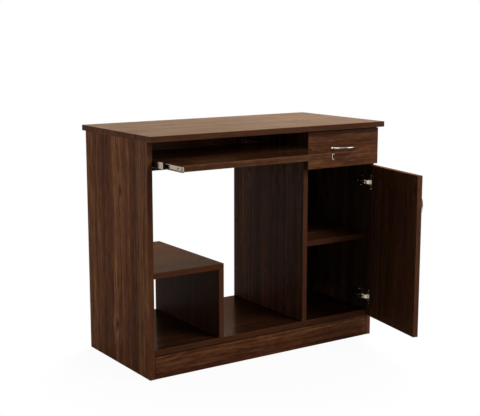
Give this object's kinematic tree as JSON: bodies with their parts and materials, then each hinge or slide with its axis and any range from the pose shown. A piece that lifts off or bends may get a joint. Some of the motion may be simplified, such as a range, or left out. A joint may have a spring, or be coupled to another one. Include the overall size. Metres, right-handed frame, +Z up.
{
  "type": "study desk with cabinet",
  "caption": "Walnut laminate study desk with a pull-out keyboard tray, a drawer over a cupboard with a hinged door and shelf, and a low open bay for a computer.",
  "frame": {"origin": "on the floor, at the middle of the front plinth's underside", "axes": "+X to the sitter's right along the desk, -Y to the front, +Z up"},
  "size_m": [0.9, 0.7166, 0.75],
  "materials": {
    "walnut_board": "dark walnut laminate on board, satin",
    "drawer_ply": "thin plywood, matt",
    "back_hardboard": "thin hardboard, matt",
    "slide_steel": "zinc plated sheet steel",
    "hinge_nickel": "nickel plated",
    "handle_chrome": "polished",
    "guide_plastic": "black moulded"
  },
  "bodies": {
    "carcass": {"desk_top": "walnut_board", "left_side_panel": "walnut_board", "right_side_panel": "walnut_board", "divider_panel": "walnut_board", "base_board": "walnut_board", "front_plinth": "walnut_board", "rear_plinth": "walnut_board", "rear_apron": "walnut_board", "bay_upright": "walnut_board", "bay_shelf": "walnut_board", "cabinet_shelf": "walnut_board", "cabinet_back": "back_hardboard", "tray_left_outer_rail": "slide_steel", "tray_right_outer_rail": "slide_steel", "drawer_left_outer_rail": "slide_steel", "drawer_right_outer_rail": "slide_steel", "upper_hinge_plate": "hinge_nickel", "upper_hinge_arm": "hinge_nickel", "lower_hinge_plate": "hinge_nickel", "lower_hinge_arm": "hinge_nickel", "shelf_pin_left_front": "hinge_nickel", "shelf_pin_left_rear": "hinge_nickel", "shelf_pin_right_front": "hinge_nickel", "shelf_pin_right_rear": "hinge_nickel"},
    "tray": {"keyboard_tray": "walnut_board", "tray_left_inner_rail": "slide_steel", "tray_right_inner_rail": "slide_steel"},
    "tray_middle": {"tray_left_middle_rail": "slide_steel", "tray_right_middle_rail": "slide_steel", "tray_left_guide": "guide_plastic", "tray_right_guide": "guide_plastic"},
    "drawer": {"drawer_front": "walnut_board", "drawer_left_side": "walnut_board", "drawer_right_side": "walnut_board", "drawer_inner_front": "walnut_board", "drawer_back": "walnut_board", "drawer_bottom": "drawer_ply", "drawer_handle": "handle_chrome", "drawer_left_inner_rail": "slide_steel", "drawer_right_inner_rail": "slide_steel"},
    "drawer_middle": {"drawer_left_middle_rail": "slide_steel", "drawer_right_middle_rail": "slide_steel", "drawer_left_guide": "guide_plastic", "drawer_right_guide": "guide_plastic"},
    "hinge_links": {"upper_hinge_link": "hinge_nickel", "lower_hinge_link": "hinge_nickel"},
    "door": {"door_panel": "walnut_board", "door_handle": "handle_chrome", "upper_hinge_cup": "hinge_nickel", "lower_hinge_cup": "hinge_nickel"}
  },
  "joints": [
    {"name": "tray_slide", "type": "slide", "parent": "carcass", "child": "tray", "axis": [0, -1, 0], "range_m": [-0.142, 0.158]},
    {"name": "tray_middle_slide", "type": "slide", "parent": "carcass", "child": "tray_middle", "axis": [0, -1, 0], "range_m": [-0.071, 0.079]},
    {"name": "drawer_slide", "type": "slide", "parent": "carcass", "child": "drawer", "axis": [0, -1, 0], "range_m": [0, 0.28]},
    {"name": "drawer_middle_slide", "type": "slide", "parent": "carcass", "child": "drawer_middle", "axis": [0, -1, 0], "range_m": [0, 0.14]},
    {"name": "hinge_link_turn", "type": "hinge", "parent": "carcass", "child": "hinge_links", "pos_m": [0.4062, -0.0053, 0.3425], "axis": [0, 0, 1], "range_deg": [-7.5, 40]},
    {"name": "door_swing", "type": "hinge", "parent": "hinge_links", "child": "door", "pos_m": [0.41501, -0.02653, 0.3425], "axis": [0, 0, 1], "range_deg": [-120, 22.5]}
  ],
  "couplings": [
    {"joint": "tray_middle_slide", "follows": "tray_slide", "ratio": 0.5},
    {"joint": "drawer_middle_slide", "follows": "drawer_slide", "ratio": 0.5},
    {"joint": "hinge_link_turn", "follows": "door_swing", "ratio": -0.33333}
  ]
}
